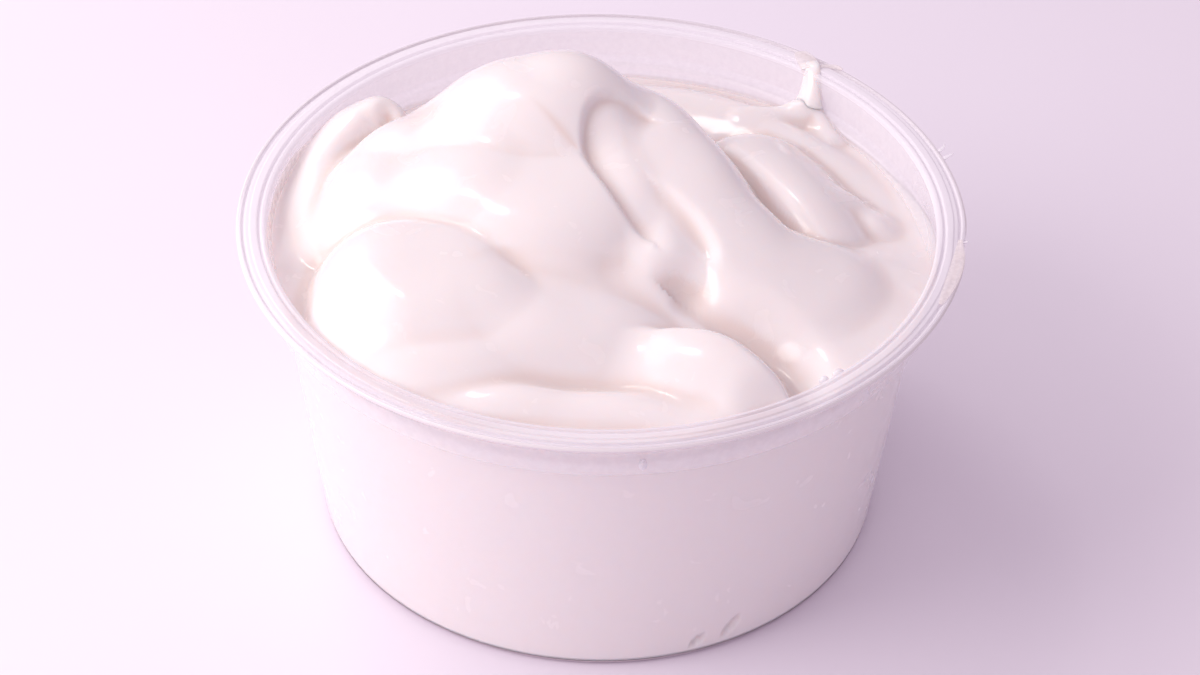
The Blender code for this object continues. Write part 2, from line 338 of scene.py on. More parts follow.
@dataclass(frozen=True)
class PaleLaminate:
    """Pale laminate of the studio table, pressed with a satin face."""

    face: str = "#F0E9F4"
    shade: str = "#EDE5F1"
    roughness: float = 0.55
    cloud_mm: float = 60.0

    def material(self) -> bpy.types.Material:
        """Make the table's face.

        Returns:
            The material.
        """
        # The eye sees a pale lavender white with faint clouds and no clear reflection.
        material, tree, shader = new_material("pale satin laminate")
        place = add_node(tree, "ShaderNodeTexCoord").outputs["Object"]
        cloud = add_node(tree, "ShaderNodeTexNoise", {"Scale": per_metre(self.cloud_mm), "Detail": 2.0},
                         {"Vector": place})
        colour = add_node(tree, "ShaderNodeMix",
                          {"data_type": "RGBA", 6: linear_colour(self.face), 7: linear_colour(self.shade)},
                          {0: cloud.outputs["Fac"]})
        tree.links.new(colour.outputs[2], shader.inputs["Base Color"])
        shader.inputs["Roughness"].default_value = self.roughness
        return material


def finish_piece(name: str, mesh: bmesh.types.BMesh, material: bpy.types.Material,
                 stands: Stands = Stands.NOTHING) -> bpy.types.Object:
    """Turn a bmesh into a smooth-shaded piece that rides on the part.

    Args:
        name: The piece's name.
        mesh: The bmesh, which is freed.
        material: The piece's material.
        stands: The CAD node that the piece replaces.

    Returns:
        The piece.
    """
    bmesh.ops.recalc_face_normals(mesh, faces=mesh.faces)
    data = bpy.data.meshes.new(name)
    mesh.to_mesh(data)
    mesh.free()
    data.materials.append(material)
    data.shade_smooth()
    piece = bpy.data.objects.new(name, data)
    bpy.context.scene.collection.objects.link(piece)
    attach(piece, BODY)
    if stands is not Stands.NOTHING:
        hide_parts(stands.value)
    log.info("%s: %d points, %d faces", name, len(data.vertices), len(data.polygons))
    return piece


def offset_profile(profile: Sequence[Point], distance: float) -> np.ndarray:
    """Move a wall's profile inward, square to its own surface, with its floor end kept on the axis.

    Args:
        profile: The wall as (radius, height) from the mouth down to the middle of the floor.
        distance: How far to move it, negative for outward.

    Returns:
        The moved profile, one row to a point.
    """
    points = np.array(profile)
    run = np.diff(points, axis=0)
    run /= np.linalg.norm(run, axis=1)[:, None]
    normals = np.column_stack([run[:, 1], -run[:, 0]])
    before = np.vstack([normals[:1], normals])
    after = np.vstack([normals, normals[-1:]])
    lean = before + after
    scale = 2 * distance / np.sum(lean * lean, axis=1)
    moved = points + lean * scale[:, None]
    moved[-1, 0] = 0.0
    return moved


def wall_radius(profile: np.ndarray, height: np.ndarray) -> np.ndarray:
    """The wall's radius at each height, down to the edge of the floor."""
    rising = profile[-2::-1]
    return np.interp(height, rising[:, 1], rising[:, 0])


@dataclass
class ClearCup:
    """The moulded cup: rim flange, hanging skirt, lid ledge, tapered body and foot ring."""

    finishes: dict[Zone, Finish]
    height: float = RIM_HEIGHT
    rim_radius: float = 50.0 * MM
    mouth_radius: float = 45.7 * MM
    body_top_radius: float = 44.7 * MM
    foot_radius: float = 39.7 * MM
    wall: float = 0.9 * MM
    skirt_depth: float = 7.4 * MM
    ledge_depth: float = 4.6 * MM
    foot_recess: float = 0.8 * MM
    # The foot ring's band, painted grey with the shade under the foot.
    foot_band: float = 0.8 * MM
    foot_width: float = 3.6 * MM
    # The width of the flange's outer edge that is painted pale for the light gathered in it.
    edge_width: float = 0.3 * MM
    flange_thickness: float = 1.3 * MM
    corner_round: float = 0.35 * MM
    corner_steps: int = 4
    segments: int = 256
    slump_angle: float = -6.0
    slump_spread: float = 4.0
    slump_depth: float = 0.5 * MM
    # The flange's top with its two grooves, as millimetres in from the rim and down from its height.
    flange_top: tuple[Point, ...] = (
        (0.15, 0.95), (0.0, 0.6), (0.25, 0.25), (0.7, 0.15), (0.85, 0.5), (1.1, 0.5), (1.25, 0.15),
        (1.8, 0.15), (1.95, 0.0), (2.9, 0.0), (3.05, 0.4), (3.3, 0.4), (3.45, 0.1))

    def inner_profile(self) -> list[Point]:
        """Draw the cup's inside.

        Returns:
            Its corners as (radius, height) from the mouth down to the middle of the floor.
        """
        ledge = self.height - self.ledge_depth
        bore = self.body_top_radius - self.wall
        floor = self.foot_recess + self.wall
        corner = self.foot_radius - self.wall
        return [
            (self.mouth_radius, self.height - 0.75 * MM),
            (self.mouth_radius - 0.4 * MM, ledge),
            (bore + 0.3 * MM, ledge - 0.55 * MM),
            (bore, ledge - 0.9 * MM),
            (corner + 0.02 * MM, floor + 0.2 * MM),
            (corner - 0.2 * MM, floor),
            (0.0, floor),
        ]

    def outer_profile(self) -> list[Point]:
        """Draw the cup's outside, with two fine grooves round the top of the flange.

        Returns:
            Its corners as (radius, height) from the middle of the underside up to the mouth.
        """
        skirt_foot = self.height - self.skirt_depth
        skirt_radius = self.body_top_radius + 2.25 * MM
        under_flange = self.height - self.flange_thickness
        return [
            (0.0, self.foot_recess),
            (self.foot_radius - 3.4 * MM, self.foot_recess),
            (self.foot_radius - 2.8 * MM, 0.0),
            (self.foot_radius - 1.1 * MM, 0.0),
            (self.foot_radius - 0.35 * MM, 0.3 * MM),
            (self.foot_radius + 0.05 * MM, 1.1 * MM),
            (self.body_top_radius, skirt_foot + 0.8 * MM),
            (self.body_top_radius + 0.35 * MM, skirt_foot + 1.3 * MM),
            (skirt_radius - 0.9 * MM, skirt_foot + 1.3 * MM),
            (skirt_radius - 0.8 * MM, skirt_foot),
            (skirt_radius - 0.15 * MM, skirt_foot),
            (skirt_radius, skirt_foot + 0.2 * MM),
            (skirt_radius + 0.4 * MM, under_flange),
            (self.rim_radius - 0.7 * MM, under_flange),
            *((self.rim_radius - inward * MM, self.height - down * MM) for inward, down in self.flange_top),
            (self.mouth_radius + 0.3 * MM, self.height - 0.2 * MM),
        ]

    def rounded(self, profile: Sequence[Point]) -> list[Point]:
        """Round every corner of a profile as far as its neighbours leave room.

        Args:
            profile: The corners, with both ends on the axis.

        Returns:
            The corners and the points of their arcs.
        """
        arcs = [profile[0]]
        corners = [Vector(point) for point in profile]
        for before, corner, after in zip(corners, corners[1:], corners[2:]):
            reach = min(self.corner_round, 0.45 * (before - corner).length, 0.45 * (after - corner).length)
            start = corner + (before - corner).normalized() * reach
            stop = corner + (after - corner).normalized() * reach
            for step in range(self.corner_steps + 1):
                t = step / self.corner_steps
                arcs.append(tuple((1 - t) ** 2 * start + 2 * t * (1 - t) * corner + t ** 2 * stop))
        return arcs + [profile[-1]]

    def build(self) -> bpy.types.Object:
        """Spin the rounded profile and let the flange slump where it was bent.

        Returns:
            The cup.
        """
        mesh = bmesh.new()
        profile = self.rounded(self.outer_profile() + self.inner_profile())
        verts = [mesh.verts.new((radius, 0.0, height)) for radius, height in profile]
        edges = [mesh.edges.new(pair) for pair in zip(verts, verts[1:])]
        bmesh.ops.spin(mesh, geom=verts + edges, cent=(0, 0, 0), axis=(0, 0, 1),
                       angle=2 * math.pi, steps=self.segments, use_merge=True)
        bmesh.ops.remove_doubles(mesh, verts=mesh.verts, dist=0.002 * MM)
        self.slump(mesh)
        for face in mesh.faces:
            face.material_index = self.zone_at(face.calc_center_median())
        materials = [self.finishes[zone].material() for zone in Zone]
        cup = finish_piece("cup_clear", mesh, materials[0], Stands.CUP)
        for material in materials[1:]:
            cup.data.materials.append(material)
        return cup

    def zone_at(self, middle: Vector) -> Zone:
        """Tell which area of the cup a face belongs to.

        Args:
            middle: The face's middle.

        Returns:
            The area, whose number is also that of its material.
        """
        radius = middle.xy.length
        body_top = self.height - self.skirt_depth + 0.5 * MM
        # The flange's outer edge is painted pale for the light that gathers in it.
        if radius > self.rim_radius - self.edge_width:
            return Zone.THICK
        # The foot ring is painted grey with the shade under the foot.
        if middle.z <= self.foot_band:
            return Zone.RING if radius > self.foot_radius - self.foot_width else Zone.CLEAR
        if middle.z < body_top and radius > self.outside_radius(middle.z) - 0.6 * MM:
            return Zone.WETTED
        return Zone.SHEER if middle.z < self.height - 0.8 * MM else Zone.CLEAR

    def outside_radius(self, height: float) -> float:
        """Find the radius of the tapered body's outside.

        Args:
            height: The height over the foot.

        Returns:
            The radius there.
        """
        low, high = 1.1 * MM, self.height - self.skirt_depth + 0.8 * MM
        foot = self.foot_radius + 0.05 * MM
        return foot + (height - low) / (high - low) * (self.body_top_radius - foot)

    def slump(self, mesh: bmesh.types.BMesh) -> None:
        """Press the flange's outer edge in and down a little at one place.

        Args:
            mesh: The bmesh of the cup, whose points are moved.
        """
        for vert in mesh.verts:
            flat = vert.co.xy
            if flat.length < self.mouth_radius + 1.5 * MM or vert.co.z < self.height - 2 * MM:
                continue
            away = math.degrees(math.atan2(flat.y, flat.x)) - self.slump_angle
            share = math.exp(-(away / self.slump_spread) ** 2)
            share *= (flat.length - self.mouth_radius - 1.5 * MM) / (self.rim_radius - self.mouth_radius)
            vert.co.z -= share * self.slump_depth
            vert.co.xy = flat * (1 - share * self.slump_depth / flat.length)


def flow_line(stations: Sequence[Sequence[float]], spacing: float) -> np.ndarray:
    """Run a smooth curve through given stations.

    Args:
        stations: Rows of numbers that start with x and y.
        spacing: The distance between places on the curve, in the stations' unit.

    Returns:
        One row for each place on the curve.
    """
    rows = np.array(stations, float)
    ends = np.vstack([2 * rows[0] - rows[1], rows, 2 * rows[-1] - rows[-2]])
    places = []
    for before, start, stop, after in zip(ends, ends[1:], ends[2:], ends[3:]):
        steps = max(2, int(np.hypot(*(stop - start)[:2]) / spacing))
        bend = 2 * before - 5 * start + 4 * stop - after
        twist = 3 * start - before - 3 * stop + after
        for t in np.arange(steps) / steps:
            places.append(start + 0.5 * ((stop - before) * t + bend * t ** 2 + twist * t ** 3))
    places.append(rows[-1])
    return np.array(places)


def directions(path: np.ndarray) -> np.ndarray:
    """The unit direction of travel at each place on a path."""
    run = np.gradient(path[:, :2], axis=0)
    return run / np.linalg.norm(run, axis=1)[:, None]


def melt_together(layers: Sequence[np.ndarray], softness: float) -> np.ndarray:
    """Blend many overlapping surfaces into their highest one without a hard crease.

    Args:
        layers: The surfaces' heights at the same places.
        softness: The difference in height over which two of them share the place.

    Returns:
        The blended heights.
    """
    top = np.max(layers, axis=0)
    total = np.zeros_like(top)
    weight = np.zeros_like(top)
    for layer in layers:
        share = np.exp((layer - top) / softness)
        total += share * layer
        weight += share
    return total / weight


def soft_union(low: np.ndarray, high: np.ndarray, blend: float) -> np.ndarray:
    """Keep the higher of two surfaces, rounded over the blend height where they meet."""
    near = np.maximum(blend - np.abs(low - high), 0) / blend
    return np.maximum(low, high) + near * near * blend / 4


class Form(Protocol):
    """A shape that the spoon left, which lies on the shapes before it."""

    def lay_on(self, surface: np.ndarray, x: np.ndarray, y: np.ndarray) -> np.ndarray:
        """Add the shape to the surface.

        Args:
            surface: The heights before, in millimetres over the rim.
            x: Places to the right of the axis, in millimetres.
            y: Places behind the axis, in millimetres.

        Returns:
            The heights after.
        """
        ...


@dataclass
class Dollop:
    """A rounded mound whose top stands at a height over the rim."""

    x: float
    y: float
    top: float
    half_x: float
    half_y: float
    blend: float
    turn: float = 0.0
    sag: float = 4.0
    power: float = 2.0
    square: float = 2.0

    def lay_on(self, surface: np.ndarray, x: np.ndarray, y: np.ndarray) -> np.ndarray:
        """Add the mound to the surface.

        Args:
            surface: The heights before.
            x: Places to the right of the axis.
            y: Places behind the axis.

        Returns:
            The heights after.
        """
        along, across = local_axes(self, x, y)
        spread = np.abs(along) ** self.square + np.abs(across) ** self.square
        mound = self.top - self.sag * spread ** (self.power / self.square)
        return soft_union(surface, mound, self.blend)


@dataclass
class Fold:
    """A ridge drawn out by the spoon, with stations (x, y, crest height) along its crest."""

    line: list[Place]
    left: Point
    right: Point
    blend: float
    sag: float = 4.0
    power: float = 2.0
    step: float = 0.6
    softness: float = 0.3

    def lay_on(self, surface: np.ndarray, x: np.ndarray, y: np.ndarray) -> np.ndarray:
        """Add the ridge to the surface.

        Args:
            surface: The heights before.
            x: Places to the right of the axis.
            y: Places behind the axis.

        Returns:
            The heights after.
        """
        path = flow_line(self.line, self.step)
        lefts = np.linspace(*self.left, len(path))
        rights = np.linspace(*self.right, len(path))
        layers = []
        for (px, py, crest), (dx, dy), left, right in zip(path, directions(path), lefts, rights):
            side = dx * (y - py) - dy * (x - px)
            ahead = dx * (x - px) + dy * (y - py)
            width = np.where(side > 0, left, right)
            spread = (side / width) ** 2 + (2 * ahead / (left + right)) ** 2
            layers.append(crest - self.sag * spread ** (self.power / 2))
        return soft_union(surface, melt_together(layers, self.softness), self.blend)


@dataclass
class Groove:
    """A crease with stations (x, y, depth), wider on one side of its line than on the other."""

    line: list[Place]
    left: float
    right: float
    step: float = 0.18
    softness: float = 0.06

    def lay_on(self, surface: np.ndarray, x: np.ndarray, y: np.ndarray) -> np.ndarray:
        """Cut the crease into the surface.

        Args:
            surface: The heights before.
            x: Places to the right of the axis.
            y: Places behind the axis.

        Returns:
            The heights after.
        """
        path = flow_line(self.line, self.step)
        layers = []
        for (px, py, depth), (dx, dy) in zip(path, directions(path)):
            side = dx * (y - py) - dy * (x - px)
            width = np.where(side > 0, self.left, self.right)
            layers.append(depth * np.exp(-((x - px) ** 2 + (y - py) ** 2) / width ** 2))
        return surface - melt_together(layers, self.softness)


@dataclass
class Dent:
    """A rounded hollow, or a rounded bump where its depth is negative."""

    x: float
    y: float
    depth: float
    half_x: float
    half_y: float
    turn: float = 0.0

    def lay_on(self, surface: np.ndarray, x: np.ndarray, y: np.ndarray) -> np.ndarray:
        """Press the hollow into the surface.

        Args:
            surface: The heights before.
            x: Places to the right of the axis.
            y: Places behind the axis.

        Returns:
            The heights after.
        """
        along, across = local_axes(self, x, y)
        return surface - self.depth * np.exp(-(along ** 2 + across ** 2))


def local_axes(form: Dollop | Dent, x: np.ndarray, y: np.ndarray) -> tuple[np.ndarray, np.ndarray]:
    """Measure places along a form's own two axes.

    Args:
        form: The form, which is turned about its middle.
        x: Places to the right of the axis.
        y: Places behind the axis.

    Returns:
        Distances from its middle along both axes, as shares of its half lengths.
    """
    c, s = np.cos(np.radians(form.turn)), np.sin(np.radians(form.turn))
    along = (c * (x - form.x) + s * (y - form.y)) / form.half_x
    across = (c * (y - form.y) - s * (x - form.x)) / form.half_y
    return along, across


@dataclass
class AirPocket:
    """A leaf-shaped pocket of air between the dip and the cup's wall."""

    angle: float
    height: float
    half_length: float
    half_width: float
    lean: float
    depth: float = 0.9

    def depth_at(self, angle: float, height: float, radius: float) -> float:
        """How far the dip stands back at a place on its side.

        Args:
            angle: The place's angle round the cup, in degrees.
            height: Its height over the foot, in millimetres.
            radius: The wall's radius there, in millimetres.

        Returns:
            The depth in millimetres.
        """
        run = math.radians((angle - self.angle + 180) % 360 - 180) * radius
        rise = height - self.height
        c, s = math.cos(math.radians(self.lean)), math.sin(math.radians(self.lean))
        along = (c * run + s * rise) / self.half_length
        across = (c * rise - s * run) / self.half_width
        return self.depth * max(0.0, 1 - along ** 2 - across ** 2) ** 0.5


@dataclass
class HeapedDip:
    """The dip: one body from the cup's floor up to the heap.

    Its side lies reach deep in the clear wall, so that no gap shows. At the foot it stays skin away from the
    cup's outside. Its top lies settle lower than the forms say, so that it stays inside the CAD's box.
    """

    finish: Finish
    cup: ClearCup
    reach: float = 0.95 * MM
    skin: float = 0.1 * MM
    settle: float = 0.09 * MM
    level: float = -4.8
    tilt: float = -0.055
    rim_clearance: float = -1.1
    wall_slope: float = 0.7
    cells: int = 240
    contact_rounds: int = 12
    # How far the painted crease shade is spread, and how deep a crease must be to take it in full.
    crease_rounds: int = 40
    crease_shade_full: float = 0.25 * MM
    low_rings: int = 18
    high_rings: int = 14
    low_band: float = 12.0 * MM
    pockets: list[AirPocket] = field(default_factory=lambda: [
        AirPocket(-69.5, 2.9, 1.5, 0.62, 42),
        AirPocket(-62.4, 3.9, 2.1, 0.66, 52),
    ])

    def forms(self) -> list[Form]:
        """List the heap's forms.

        Returns:
            The forms in the order in which they lie on each other.
        """
        back_bank = Fold(
            [(-10, 37, -5.5), (8, 36.5, -5.0), (20, 31.5, -4.2), (30, 23, -4.4), (37, 13.5, -5.2),
             (40, 4, -6)],
            left=(5, 4), right=(7, 6), blend=1.5, sag=2.5)
        heap = Dollop(-8.5, 15.3, 12.6, 16.5, 12, blend=2, sag=8, power=2.8)
        peak = Dollop(-5.5, 17.5, 12.9, 6.5, 6, blend=2, sag=2.5, power=2.4)
        heap_foot = Dollop(-24, 14.5, 4.4, 9.5, 7, blend=4, turn=25, sag=4, power=3)
        apron = Dollop(-8, 0, 7.8, 17.5, 16.5, blend=6.5, turn=-18, sag=4.5, power=3.6)
        ridge = Fold(
            [(3.2, 13, 7.6), (4.9, 10.3, 7.3), (8.5, 4.4, 6.6), (11.5, -1.6, 5.4), (15, -6, 4.0),
             (19, -9.5, 2.4), (26, -11.5, 0.2)],
            left=(11, 11), right=(17, 15), blend=2, sag=5, power=4)
        pillow = Dollop(-24, 3.0, 4.9, 13.5, 12, blend=7, turn=-8, sag=4, power=4, square=2.6)
        left_bank = Fold(
            [(-40.3, -4, -4.2), (-41, 4, -2.6), (-40, 11, -1.5), (-37.6, 17.5, -0.2), (-34.6, 22, 1.3),
             (-32, 23.4, 1.8)],
            left=(6, 4), right=(3.4, 2.8), blend=3.4, sag=2.3)
        front_left = Dollop(-23, -17.2, 5.2, 14.8, 14.3, blend=1.0, sag=6, power=4, square=2.6)
        front_left_foot = Dollop(-19, -26, 2.6, 17, 12, blend=4, sag=4, power=3)
        shelf = Dollop(-5, -23.5, 2.2, 15, 10, blend=6, turn=-12, sag=4, power=3)
        front_fold = Fold(
            [(-24, -38.5, -2.4), (-13, -38, -0.2), (-4, -39, -0.7), (5, -39.5, -0.7), (13, -41.5, -1.4)],
            left=(5, 6), right=(6, 6), blend=1, sag=4)
        pool = Fold(
            [(20, -15, -0.8), (28, -8.5, -1.4), (35, -7.5, -2.4), (41, -11.5, -3.8)],
            left=(5, 2.5), right=(20, 18), blend=3, sag=2.5)
        tongue = Fold(
            [(19.8, 16.3, 0.4), (23.3, 10.8, 0.9), (27.4, 4.2, 0.4), (30.4, -1.2, -1.2)],
            left=(8, 7), right=(4.0, 3.6), blend=0.8, sag=3)
        front_right = Fold(
            [(3, -28, -0.6), (7.5, -28.3, 1.4), (11.5, -29, 2.6), (16, -31, 3.0), (20.5, -35.5, 2.0),
             (23.5, -41, 0.4)],
            left=(3.4, 3.2), right=(9, 9), blend=2, sag=3.6)
        middle_lump = Dollop(8.0, -12.5, 3.0, 7, 5.5, blend=4, turn=30, sag=2.5)
        lump_by_tongue = Dollop(31.7, 8, -1.8, 4.5, 3, blend=1.2, turn=-35, sag=1.2)
        lump_by_wall = Dollop(37, 4.3, -3.2, 3.5, 3, blend=1.2, turn=-35, sag=1.2)
        wall_smear = Fold(
            [(20, 31, -5.0), (25.5, 32, -4.2), (29.2, 32.5, -3.0), (31, 31, -4.0), (33, 27, -5.5)],
            left=(2.5, 2.5), right=(4, 3), blend=2.5, sag=3)
        scoop = Groove(
            [(8, 11.2, 0), (5, 12.3, 0.5), (2, 12.8, 0.8), (-0.5, 11.4, 1.0), (-2.0, 8.5, 1.1),
             (-2.2, 4.6, 1.1), (-1.0, 0.6, 1.1), (1.1, -3.6, 1.0), (3.0, -7.0, 0.9), (5.0, -9.8, 0.7),
             (7.4, -13, 0.1)],
            left=3.2, right=0.8)
        second_crease = Groove(
            [(6.5, -1, 0), (9.1, -5.1, 0.7), (11.6, -8.5, 1.1), (13.5, -12.5, 1.1), (14.2, -15.5, 0.3)],
            left=1.6, right=3.3)
        pit = Dent(11.5, -17.5, 1.9, 3.8, 2.6, turn=-15)
        valley = Groove(
            [(11, -19.5, 0.8), (15.5, -22, 2.2), (20.5, -25, 3.2), (24.7, -29.8, 3.2), (26.5, -37, 2.4)],
            left=3.8, right=1.8)
        curl_hollow = Dent(-30.6, 21.2, 2.2, 1.2, 2.2)
        dimple = Dent(15.9, 24.8, 1.0, 2.0, 1.4)
        return [back_bank, heap, peak, heap_foot, apron, ridge, pillow, left_bank, front_left,
                front_left_foot, shelf, front_fold, pool, tongue, front_right, middle_lump, lump_by_tongue,
                lump_by_wall, wall_smear, scoop, second_crease, pit, valley, curl_hollow, dimple]

    def height_at(self, x: np.ndarray, y: np.ndarray) -> np.ndarray:
        """The height of the dip's top over the foot.

        Args:
            x: Places to the right of the axis, in metres.
            y: Places behind the axis, in metres.

        Returns:
            The heights in metres.
        """
        x, y = x / MM, y / MM
        surface = self.level + self.tilt * y + 0.0 * x
        for form in self.forms():
            surface = form.lay_on(surface, x, y)
        to_wall = self.cup.mouth_radius / MM - np.hypot(x, y)
        limit = self.rim_clearance + self.wall_slope * to_wall
        return self.cup.height - self.settle - MM * soft_union(-surface, -limit, 1.0)

    def contact_radius(self, angle: np.ndarray, wall: np.ndarray) -> np.ndarray:
        """Find where the dip's top meets the wall.

        Args:
            angle: Angles round the cup, in radians.
            wall: The profile that the dip's edge follows.

        Returns:
            The radius at each angle.
        """
        radius = np.full_like(angle, self.cup.body_top_radius - self.cup.wall)
        for _ in range(self.contact_rounds):
            height = self.height_at(radius * np.cos(angle), radius * np.sin(angle))
            radius = 0.5 * (radius + wall_radius(wall, height))
        return radius

    def build(self) -> bpy.types.Object:
        """Lay the top as a disc of even cells and carry its edge down the wall.

        Returns:
            The dip.
        """
        wall = offset_profile(self.cup.inner_profile(), -self.reach)
        wall[-2, 0] = self.cup.foot_radius - self.skin
        wall[-2:, 1] = self.cup.foot_recess + self.skin
        mesh = bmesh.new()
        bmesh.ops.create_grid(mesh, x_segments=self.cells, y_segments=self.cells, size=1.0)
        flat = np.array([vert.co[:2] for vert in mesh.verts])
        share, angle = disc_coordinates(flat[:, 0], flat[:, 1])
        turns = np.linspace(0, 2 * np.pi, 8 * self.cells)
        edge = self.contact_radius(turns, wall)
        radius = share * np.interp(angle % (2 * np.pi), turns, edge)
        x = radius * np.cos(angle)
        y = radius * np.sin(angle)
        for vert, place in zip(mesh.verts, zip(x, y, self.height_at(x, y))):
            vert.co = place
        self.mark_painted_crease_shade(mesh)
        self.add_side(mesh, wall)
        return finish_piece("dip_heap", mesh, self.finish.material(), Stands.DIP)

    def mark_painted_crease_shade(self, mesh: bmesh.types.BMesh) -> None:
        """Store on each point of the top how deep it lies in a crease, from 0 to 1, which sets how much
        painted crease shade the dip's colour takes there.

        Args:
            mesh: The bmesh that holds the top.
        """
        mesh.verts.index_update()
        height = np.array([vert.co.z for vert in mesh.verts])
        around = height.copy()
        pairs = np.array([[vert.index for vert in edge.verts] for edge in mesh.edges])
        for _ in range(self.crease_rounds):
            total = np.zeros_like(around)
            count = np.zeros_like(around)
            for one, other in ((0, 1), (1, 0)):
                np.add.at(total, pairs[:, one], around[pairs[:, other]])
                np.add.at(count, pairs[:, one], 1)
            around = 0.5 * around + 0.5 * total / count
        layer = mesh.verts.layers.float.new("crease")
        depth = np.clip((around - height) / self.crease_shade_full, 0, 1)
        for vert, value in zip(mesh.verts, depth):
            vert[layer] = float(value)

    def side_levels(self, wall: np.ndarray) -> list[float]:
        """Place the rings on the dip's side, closer together near the foot.

        Args:
            wall: The profile that the side follows.

        Returns:
            The rings' heights from the top down.
        """
        floor = wall[-2, 1]
        high = np.linspace(wall[0, 1], self.low_band, self.high_rings + 1)
        low = np.linspace(self.low_band, floor, self.low_rings + 1)[1:]
        return sorted({*high, *low, *wall[1:-1, 1]}, reverse=True)

    def add_side(self, mesh: bmesh.types.BMesh, wall: np.ndarray) -> None:
        """Extrude the top's edge down the wall, with the air pockets, and close the underside.

        Args:
            mesh: The bmesh that holds the top.
            wall: The profile that the side follows.
        """
        crease = mesh.verts.layers.float["crease"]
        for level in self.side_levels(wall):
            rim = [edge for edge in mesh.edges if edge.is_boundary]
            grown = bmesh.ops.extrude_edge_only(mesh, edges=rim)["geom"]
            for vert in (item for item in grown if isinstance(item, bmesh.types.BMVert)):
                height = min(level, vert.co.z - 0.02 * MM)
                radius = float(wall_radius(wall, height))
                angle = math.degrees(math.atan2(vert.co.y, vert.co.x))
                back = max(pocket.depth_at(angle, height / MM, radius / MM) for pocket in self.pockets)
                flat = vert.co.xy.normalized() * (radius - back * MM)
                vert.co = (flat.x, flat.y, height)
                # The side takes no painted crease shade.
                vert[crease] = 0.0
        rim = [edge for edge in mesh.edges if edge.is_boundary]
        bmesh.ops.contextual_create(mesh, geom=rim)


def disc_coordinates(a: np.ndarray, b: np.ndarray) -> tuple[np.ndarray, np.ndarray]:
    """Map a square from -1 to 1 onto a round disc with even cells.

    Args:
        a: Places across the square.
        b: Places up the square.

    Returns:
        The share of the radius, and the angle in radians.
    """
    tall = np.abs(b) > np.abs(a)
    major = np.where(tall, b, a)
    minor = np.where(tall, a, b)
    turn = np.pi / 4 * minor / np.where(major == 0, 1.0, major)
    angle = np.where(tall, np.pi / 2 - turn, turn)
    return np.abs(major), angle + np.where(major < 0, np.pi, 0.0)


@dataclass
class Station:
    """One place on a smear or a sliver, in millimetres from the middle of the rim."""

    x: float
    y: float
    z: float
    half_width: float
    half_height: float
    lean: float = 0.0


@dataclass
class SweptPiece:
    """A small soft shape swept along stations, which lies on the cup."""

    name: str
    stations: list[Station]
    finish: Finish
    slot: Slot
    sides: int = 12
    step: float = 0.35

    def build(self) -> bpy.types.Object:
        """Sweep the section along its smoothed stations and close both ends.

        Returns:
            The piece.
        """
        rows = [(s.x, s.y, s.z, s.half_width, s.half_height, s.lean) for s in self.stations]
        path = flow_line(rows, self.step)
        run = np.gradient(path[:, :3], axis=0)
        mesh = bmesh.new()
        rings = [self.section(mesh, place, ahead) for place, ahead in zip(path, run)]
        for ring, following in zip(rings, rings[1:]):
            for side in range(self.sides):
                after = (side + 1) % self.sides
                mesh.faces.new((ring[side], ring[after], following[after], following[side]))
        mesh.faces.new(rings[0])
        mesh.faces.new(rings[-1])
        piece = finish_piece(self.name, mesh, self.finish.material())
        smooth = piece.modifiers.new("soft edges", "SUBSURF")
        smooth.levels = smooth.render_levels = 1
        return piece

    def section(self, mesh: bmesh.types.BMesh, place: np.ndarray, ahead: np.ndarray) -> list:
        """One flattened round section, whose flat side faces the wall or the flange.

        Args:
            mesh: The bmesh that gets the points.
            place: One row of the smoothed stations.
            ahead: The direction of travel there.

        Returns:
            The section's points.
        """
        x, y, z, half_width, half_height, lean = place
        inward = Vector((-x, -y, 0.0)).normalized()
        lift = math.radians(lean)
        normal = (inward * math.sin(lift) + Vector((0, 0, 1)) * math.cos(lift)).normalized()
        along = Vector(ahead).normalized()
        across = along.cross(normal).normalized()
        middle = Vector((x, y, z))
        points = []
        for side in range(self.sides):
            turn = 2 * math.pi * side / self.sides
            offset = across * math.cos(turn) * half_width + normal * math.sin(turn) * half_height
            place_mm = middle + offset
            points.append(mesh.verts.new((place_mm.x * MM, place_mm.y * MM, RIM_HEIGHT + place_mm.z * MM)))
        return points


